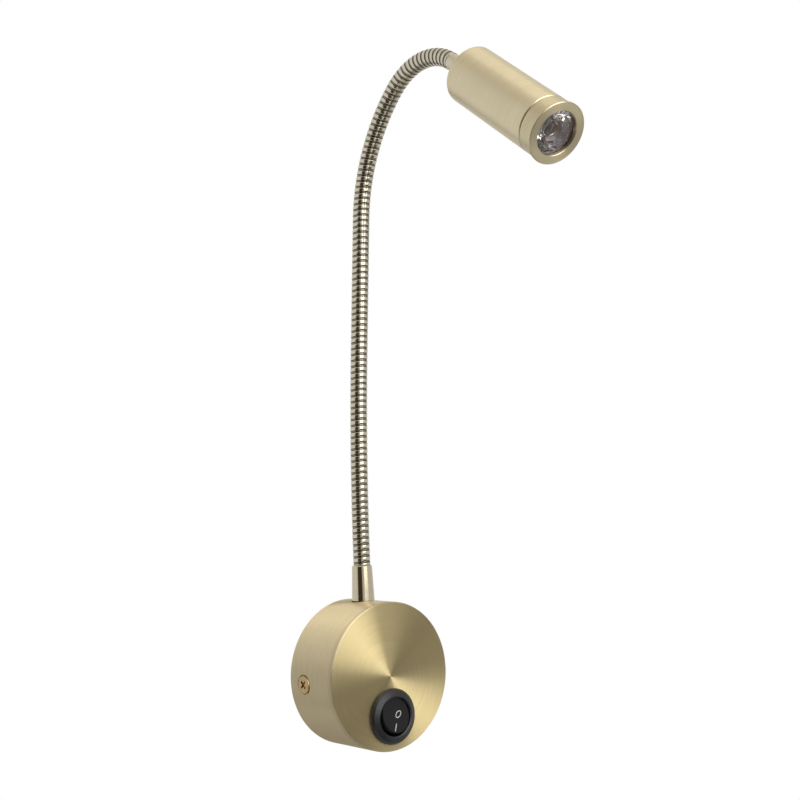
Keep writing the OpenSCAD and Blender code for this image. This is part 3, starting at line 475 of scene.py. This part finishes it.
def turned_metal(name, turning, colour, roughness, grain, edge=0.15, anisotropy=0.75, dome=0.0, rim=None):
    """Metal brushed round an axis, with fine lines, faint clouding and softened edges.

    dome leans its shine outwards, as that of a slightly domed face. rim is the height of the
    base's front edge. Only the base has it, for the painted lighter colour of its side and its turned
    lines.
    """
    centre, axis = turning
    made, n, shader = material(
        name, Metallic=1.0, Anisotropic=anisotropy, Anisotropic_Rotation=0.25, Roughness=roughness
    )
    place = n.place()
    flat, height, round_way = from_axis(n, place, centre, axis)
    radius = n.vector("LENGTH", flat)
    fine = n.math("MULTIPLY", radius, LINE_STRETCH)
    high = n.math("MULTIPLY", height, LINE_STRETCH)
    across = n.add("ShaderNodeCombineXYZ", {"X": fine, "Y": high}).outputs[0]
    lines = n.noise(n.vector("ADD", across, place), LINE_SCALE, 5.0, 0.62)
    clouds = n.noise(place, CLOUD_SCALE, 3.0)
    tint = streaked(n, lines, colour, 0.92, 1.06)
    worn = n.mix(n.share(clouds, 0.35, 0.7), tint, shade(colour, 0.96))
    if rim is not None:
        worn = with_painted_light_side(n, worn, lines, radius, height, rim)
    n.put(shader.inputs["Base Color"], worn)
    n.put(shader.inputs["Tangent"], in_world(n, round_way))
    normal = n.bump(lines, grain * MM, n.soft_edges(edge))
    if dome:
        lean = n.scaled(in_world(n, flat), dome / BASE_R / MM)
        normal = n.vector("NORMALIZE", n.vector("ADD", normal, lean))
    n.put(shader.inputs["Normal"], normal)
    return made


def plain_metal(name, colour, roughness, cloud=0.08, grain=0.004, scale=400.0, edge=0.1):
    """Metal with faint clouding and a fine grain."""
    made, n, shader = material(name, Metallic=1.0, Roughness=roughness)
    place = n.place()
    clouds = n.noise(place, scale, 4.0)
    n.put(shader.inputs["Base Color"], n.mix(clouds, shade(colour, 1 - cloud), shade(colour, 1 + cloud)))
    n.put(shader.inputs["Normal"], n.bump(clouds, grain * MM, n.soft_edges(edge)))
    return made


HOSE_CLOUDS = 250.0
HOSE_GRAIN = 1500.0
HOSE_GRAIN_DEPTH = 0.001


def hose_brass():
    """Antique brass, dull brown with painted shade in the narrow grooves between the wires."""
    made, n, shader = material("hose_brass", Metallic=1.0, Roughness=0.16)
    groove_shade = n.add("ShaderNodeAttribute", attribute_name="groove").outputs["Fac"]
    clouds = n.noise(n.place(), HOSE_CLOUDS)
    crest = n.mix(clouds, HOSE_DARK, HOSE_LIGHT)
    # Painted shade: the brass goes dull brown in the grooves, on the narrow wire and at the wide one's
    # edges
    n.put(shader.inputs["Base Color"], n.mix(n.fade(groove_shade, 0.1, 0.8), crest, PAINTED_GROOVE_SHADE))
    grain = n.noise(n.place(), HOSE_GRAIN)
    n.put(shader.inputs["Normal"], n.bump(grain, HOSE_GRAIN_DEPTH * MM))
    return made


# Plastics and the rest. Scales are those of the textures.


BROAD = 20  # how much broader a plastic's faint clouding is than its texture


def plastic(name, colour, roughness=0.4, grain=0.01, scale=2500.0, edge=0.15, spread=0.12, **sockets):
    """Moulded plastic with a fine texture."""
    made, n, shader = material(name, Roughness=roughness, **sockets)
    place = n.place()
    fine = n.noise(place, scale, 3.0)
    broad = n.noise(place, scale / BROAD, 2.0)
    n.put(shader.inputs["Base Color"], n.mix(broad, shade(colour, 1 - spread), shade(colour, 1 + spread)))
    n.put(shader.inputs["Normal"], n.bump(fine, grain * MM, n.soft_edges(edge)))
    return made


FACET_SCALE = 280.0
FACET_DEPTH = 0.4
TINT_SCALE = 300.0
LENS_WARM = (0.95, 0.82, 0.76, 1.0)
LENS_COOL = (0.84, 0.91, 0.99, 1.0)
CELL_SCALE = 600.0
TRACK_GREEN = (0.16, 0.36, 0.20, 1.0)
MASK_GREEN = (0.04, 0.17, 0.08, 1.0)
DOT_SCALE = 4000.0
PHOSPHOR_DARK = (0.85, 0.62, 0.12, 1.0)
PHOSPHOR_LIGHT = (0.95, 0.76, 0.25, 1.0)


def lens_plastic():
    """Clear moulded plastic with shallow facets and faint warm and cool tints."""
    made, n, shader = material("clear_lens", Roughness=0.03, IOR=1.49, Transmission_Weight=1.0)
    place = n.place()
    tints = n.noise(place, TINT_SCALE, 2.0)
    n.put(shader.inputs["Base Color"], n.mix(n.share(tints, 0.4, 0.6), LENS_WARM, LENS_COOL))
    facets = n.add("ShaderNodeTexVoronoi", {"Vector": place, "Scale": FACET_SCALE})
    n.put(shader.inputs["Normal"], n.bump(facets.outputs["Distance"], FACET_DEPTH * MM))
    return made


def board_green():
    """Solder mask with pale tracks."""
    made, n, shader = material("circuit_board", Roughness=0.35)
    cells = n.add(
        "ShaderNodeTexVoronoi", {"Vector": n.place(), "Scale": CELL_SCALE}, feature="DISTANCE_TO_EDGE"
    )
    off_track = n.fade(cells.outputs["Distance"], 0.03, 0.08)
    n.put(shader.inputs["Base Color"], n.mix(off_track, TRACK_GREEN, MASK_GREEN))
    return made


def phosphor():
    """The LED's speckled yellow face."""
    made, n, shader = material("phosphor", Roughness=0.5, Transmission_Weight=0.2)
    dots = n.noise(n.place(), DOT_SCALE)
    n.put(shader.inputs["Base Color"], n.mix(dots, PHOSPHOR_DARK, PHOSPHOR_LIGHT))
    return made


BEZEL_SHINE = {"roughness": 0.35, "grain": 0.004, "Specular_IOR_Level": 0.46}
ROCKER_SHINE = {"roughness": 0.4, "grain": 0.004, "Specular_IOR_Level": 0.17}
# Look, then its material's name, its colour and how it differs from plain moulded plastic
PLASTICS = {
    "black": ("black_plastic", (0.013, 0.013, 0.014), BEZEL_SHINE),
    "rocker": ("rocker_plastic", (0.01, 0.01, 0.01), ROCKER_SHINE),
    "white": ("white_plastic", (0.82, 0.82, 0.79), {"roughness": 0.45}),
    "foam": ("foam_tape", (0.76, 0.76, 0.74), {"roughness": 0.9, "grain": 0.06, "scale": 900.0}),
    "component": ("component_black", (0.05, 0.05, 0.055), {"roughness": 0.5}),
    "brown": ("wire_brown", (0.20, 0.09, 0.035), {}),
    "wire_black": ("wire_black", (0.03, 0.03, 0.03), {}),
    "blue": ("wire_blue", (0.05, 0.13, 0.40), {}),
    "red": ("wire_red", (0.45, 0.05, 0.03), {}),
    "lead": ("lead_jacket", (0.76, 0.74, 0.66), {}),
    "seal": ("seal_rubber", (0.025, 0.025, 0.025), {"roughness": 0.6}),
    "holder": ("holder_grey", (0.80, 0.74, 0.69), {"roughness": 0.25}),
    "led_board": ("led_board_white", (0.84, 0.84, 0.82), {"grain": 0.004}),
    "pad": ("thermal_pad_grey", (0.38, 0.43, 0.50), {"roughness": 0.8}),
    "ink": ("mark_ink", (0.62, 0.62, 0.60), {"roughness": 0.5, "grain": 0.004}),
}


def make_materials():
    """The material of each look that a node or a piece of the scene has."""
    point, along = station(HEAD_AT)[:2]
    head = (point * MM, along)
    wall = (Vector((0, 0, 0)), Vector((0, 1, 0)))
    stem = (Vector((0, -ARM_OUT * MM, 0)), Vector((0, 0, 1)))
    base_look = dict(roughness=0.43, grain=0.008, edge=0.4, anisotropy=1.0, dome=0.08, rim=-BASE_DEPTH)
    head_look = dict(roughness=0.36, grain=0.005, anisotropy=0.85)
    made = {
        "base": turned_metal("brushed_brass", wall, BRASS, **base_look),
        "head": turned_metal("head_brass", head, HEAD_BRASS, **head_look),
        # The cap's brass is darker for painted shade
        "cap": turned_metal("cap_brass_painted_shade", head, PAINTED_SHADE_CAP_BRASS, **head_look),
        "collar": turned_metal("collar_brass", head, COLLAR_BRASS, roughness=0.3, grain=0.002),
        "ferrule": turned_metal(
            "ferrule_brass", stem, FERRULE_BRASS, roughness=0.12, grain=0.001, anisotropy=0.3
        ),
        "hose": hose_brass(),
        "screw": plain_metal("screw_brass", SCREW_BRASS, roughness=0.25),
        "contact": plain_metal("contact_brass", CONTACT_BRASS, roughness=0.3),
        "zinc": plain_metal("zinc_steel", ZINC, roughness=0.35, cloud=0.12, grain=0.006, scale=180.0),
        "spring": plain_metal("spring_steel", SPRING_STEEL, roughness=0.2),
        "sink": turned_metal("turned_aluminium", head, ALUMINIUM, roughness=0.3, grain=0.004),
        "lens": lens_plastic(),
        "board": board_green(),
        "phosphor": phosphor(),
    }
    for look, (name, colour, settings) in PLASTICS.items():
        made[look] = plastic(name, (*colour, 1.0), **settings)
    return made


# The nodes that keep their own shape, by look
NODE_LOOKS = {
    "base": ("base_housing",),
    "head": ("head_body",),
    "cap": ("front_cap",),
    "collar": ("head_collar",),
    "ferrule": ("base_ferrule",),
    "screw": ("housing_screws", "earth_screw"),
    "contact": ("switch_plunger", "switch_contact_lever", "switch_terminals", "terminal_inserts"),
    "zinc": (
        "wall_bracket",
        "ferrule_washer",
        "ferrule_nut",
        "head_nut",
        "terminal_screws",
        "board_screws",
    ),
    "spring": ("switch_spring",),
    "sink": ("heat_sink",),
    "black": ("switch_body",),
    "rocker": ("switch_rocker",),
    "white": ("driver_case", "driver_lid", "terminal_block"),
    "foam": ("driver_tape",),
    "board": ("driver_board",),
    "component": ("driver_components",),
    "brown": ("switch_feed_wire",),
    "wire_black": ("switched_wire",),
    "blue": ("neutral_wire",),
    "red": ("led_wires",),
    "seal": ("lens_seal",),
    "holder": ("lens_holder",),
    "lens": ("lens",),
    "phosphor": ("led_emitter",),
    "led_board": ("led_board",),
    "pad": ("thermal_pad",),
}


def dress_nodes(looks):
    """Gives each node that keeps its shape its material."""
    for look, names in NODE_LOOKS.items():
        for name in names:
            data = nodes[name].data
            data.materials.clear()
            data.materials.append(looks[look])


# Pieces


def new_piece(name, points, faces, look, smooth=True):
    """A mesh object from points in metres, put in the scene."""
    mesh = bpy.data.meshes.new(name)
    mesh.from_pydata([tuple(p) for p in points], [], faces)
    mesh.materials.append(look)
    mesh.polygons.foreach_set("use_smooth", [smooth] * len(mesh.polygons))
    piece = bpy.data.objects.new(name, mesh)
    bpy.context.scene.collection.objects.link(piece)
    return piece


def grid(rows, width, closed=False):
    """Faces between rows of points of that width, with each row open or closed to a ring."""
    return [
        (i * width + j, i * width + (j + 1) % width, (i + 1) * width + (j + 1) % width, (i + 1) * width + j)
        for i in range(rows - 1)
        for j in range(width if closed else width - 1)
    ]


def weld(piece, gap=1e-7):
    """Joins points that lie on each other, and turns the faces outwards."""
    shape = bmesh.new()
    shape.from_mesh(piece.data)
    bmesh.ops.remove_doubles(shape, verts=shape.verts, dist=gap)
    bmesh.ops.recalc_face_normals(shape, faces=shape.faces)
    shape.to_mesh(piece.data)
    shape.free()


# Hose


# One turn of it, a wide flat wire and a narrow one deeper in the groove beside it, darkened by
# painted shade in the grooves, on the narrow wire and at the wide one's edges: distance along
# the hose, radius, share of painted shade
HOSE_TURN = (
    (0.00, 3.40, 1.0),
    (0.06, 3.50, 0.8),
    (0.12, 3.57, 0.35),
    (0.40, 3.593, 0.0),
    (0.88, 3.60, 0.0),
    (1.36, 3.593, 0.0),
    (1.64, 3.57, 0.35),
    (1.70, 3.50, 0.8),
    (1.76, 3.40, 1.0),
    (1.87, 3.40, 0.9),
    (1.97, 3.43, 0.5),
    (2.12, 3.44, 0.45),
    (2.27, 3.43, 0.5),
    (2.37, 3.40, 0.9),
)
HOSE_SIDES = 40
FIRST_CUT = 3  # turn at which the first piece ends
BLEND_REACH = 5.0  # how far to either side of a joint carry finds the arm's points


def hose_piece(name, first, last, look):
    """The hose's turns from first to last, cut along its groove. They wind round it as a screw."""
    rows = [(t * RIB_PITCH + x, r, d) for t in range(first, last) for x, r, d in HOSE_TURN]
    rows.append((last * RIB_PITCH, *HOSE_TURN[0][1:]))
    points, groove_shades = [], []
    for s, r, groove_shade in rows:
        for j in range(HOSE_SIDES + 1):
            share = j / HOSE_SIDES
            along = min(max(s + share * RIB_PITCH, 0.0), HOSE_LEN)
            points.append(on_arm(along, r, 2 * math.pi * share))
            groove_shades.append(groove_shade)
    piece = new_piece(name, points, grid(len(rows), HOSE_SIDES + 1), look)
    # The share of painted shade at each point, read by the hose's material
    groove = piece.data.attributes.new("groove", "FLOAT", "POINT")
    groove.data.foreach_set("value", groove_shades)
    weld(piece)
    return piece


def make_hose(look):
    """The hose in pieces from the middle of one link to the middle of the next."""
    cuts = [-1] + [FIRST_CUT + RIBS_PER_LINK * k for k in range(LINKS)] + [LINKS * RIBS_PER_LINK]
    for k in range(LINKS + 1):
        piece = hose_piece(f"hose_{k:02d}", cuts[k], cuts[k + 1], look)
        carry(piece, k)
        if k < LINKS:
            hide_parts(f"gooseneck_link_{k + 1:02d}")


def carry(piece, k):
    """Piece k of the hose or lead rides on the base or the head at either end of the arm; the others stay
    where they are.
    """
    if k in (0, LINKS):
        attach(piece, link_body(max(k, 1)))
        return
    joint = k * LINK_LEN
    start, end = station(joint - BLEND_REACH)[0] * MM, station(joint + BLEND_REACH)[0] * MM
    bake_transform(piece)


# Lead


TUBE_SIDES = 16
LEAD_STEP = 1.2


def tube(name, start, end, radius, step, look):
    """A round bar along the arm's centre line, closed at both ends."""
    sides = TUBE_SIDES
    count = max(1, math.ceil((end - start) / step))
    points = [
        on_arm(start + (end - start) * i / count, radius, 2 * math.pi * j / sides)
        for i in range(count + 1)
        for j in range(sides)
    ]
    ends = [tuple(range(sides))[::-1], tuple(range(count * sides, (count + 1) * sides))]
    return new_piece(name, points, grid(count + 1, sides, closed=True) + ends, look)


def make_lead(look):
    """The two-core lead, cut like the hose."""
    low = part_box("lamp_lead")[0].z / MM - ARM_FOOT
    cuts = [low] + [(k + 0.5) * LINK_LEN for k in range(LINKS)] + [HEAD_AT + LEAD_END]
    for k in range(LINKS + 1):
        piece = tube(f"lead_{k:02d}", cuts[k], cuts[k + 1], LEAD_R, LEAD_STEP, look)
        carry(piece, k)
        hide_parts("lamp_lead")


def make_tails(look):
    """The plain tails of the hose in the ferrule and the collar."""
    for name, start, body in (("hose_tail_low", -TAIL_L, "base"), ("hose_tail_high", HOSE_LEN, "arm_head")):
        tail = tube(name, start, start + TAIL_L, TAIL_R, TAIL_L / 2, look)
        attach(tail, body)


# Marks on the rocker: a ring near its middle and a stroke below it


RING_AT = (1.1, 0.7)
RING_R = (1.0, 1.62)
RING_HALF_W = 0.17
RING_LEAN = -34.0
STROKE_AT = (0.5, -4.9)
STROKE_L = 3.5
STROKE_HALF_W = 0.2
STROKE_LEAN = -10.0
STROKE_SLIT = 0.02  # the stroke is a closed ring this narrow inside
MARK_LIFT = 0.03
MARK_SUNK = -0.05
MARK_POINTS = 48


def rocker_matrix():
    """The rocker's own axes as photographed, with Z out of its face and Y up."""
    facing = Matrix.Rotation(math.radians(90), 4, "X")
    pivot = Matrix.Translation(Vector((0, PIVOT_DEPTH - BASE_DEPTH, -SWITCH_DROP)) * MM)
    turn = Matrix.Rotation(math.radians(SWITCH_TURN), 4, "Z")
    return pivot @ facing @ turn @ Matrix.Rotation(math.radians(ROCKER_TILT), 4, "X")


def on_rocker(x, y, lift):
    """A point just above the rocker's dished face."""
    dish = (ROCKER_R**2 + ROCKER_DISH**2) / (2 * ROCKER_DISH)
    face = ROCKER_FACE - ROCKER_DISH + dish - math.sqrt(dish**2 - y * y)
    return rocker_matrix() @ (Vector((x, y, face + lift)) * MM)


def mark(name, inner, outer, look):
    """A flat mark between two closed outlines, sunk into the face along both."""
    rings = ((inner, MARK_SUNK), (inner, MARK_LIFT), (outer, MARK_LIFT), (outer, MARK_SUNK))
    points = [on_rocker(x, y, lift) for ring, lift in rings for x, y in ring]
    piece = new_piece(name, points, grid(len(rings), len(inner), closed=True), look, smooth=False)
    weld(piece)
    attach(piece, "rocker")


def outline(middle, half_x, half_y, lean, straight=0.0):
    """Points round an oval, drawn out along its own Y by that much to either side."""
    c, s = math.cos(math.radians(lean)), math.sin(math.radians(lean))
    points = []
    for i in range(MARK_POINTS):
        t = 2 * math.pi * (i + 0.5) / MARK_POINTS
        x = half_x * math.cos(t)
        y = half_y * math.sin(t) + math.copysign(straight, math.sin(t))
        points.append((middle[0] + c * x - s * y, middle[1] + s * x + c * y))
    return points


def make_marks(look):
    """The ring that stands for off and the stroke that stands for on."""
    widths = (-RING_HALF_W, RING_HALF_W)
    ring = [outline(RING_AT, RING_R[0] + w, RING_R[1] + w, RING_LEAN) for w in widths]
    mark("mark_off", *ring, look)
    straight = STROKE_L / 2 - STROKE_HALF_W
    stroke = [outline(STROKE_AT, w, w, STROKE_LEAN, straight) for w in (STROKE_SLIT, STROKE_HALF_W)]
    mark("mark_on", *stroke, look)


bpy.context.scene.view_settings.view_transform = "Standard"
make_camera()
make_world()
make_key_light()
make_floor()
looks = make_materials()
dress_nodes(looks)
make_hose(looks["hose"])
make_tails(looks["hose"])
make_lead(looks["lead"])
make_marks(looks["ink"])
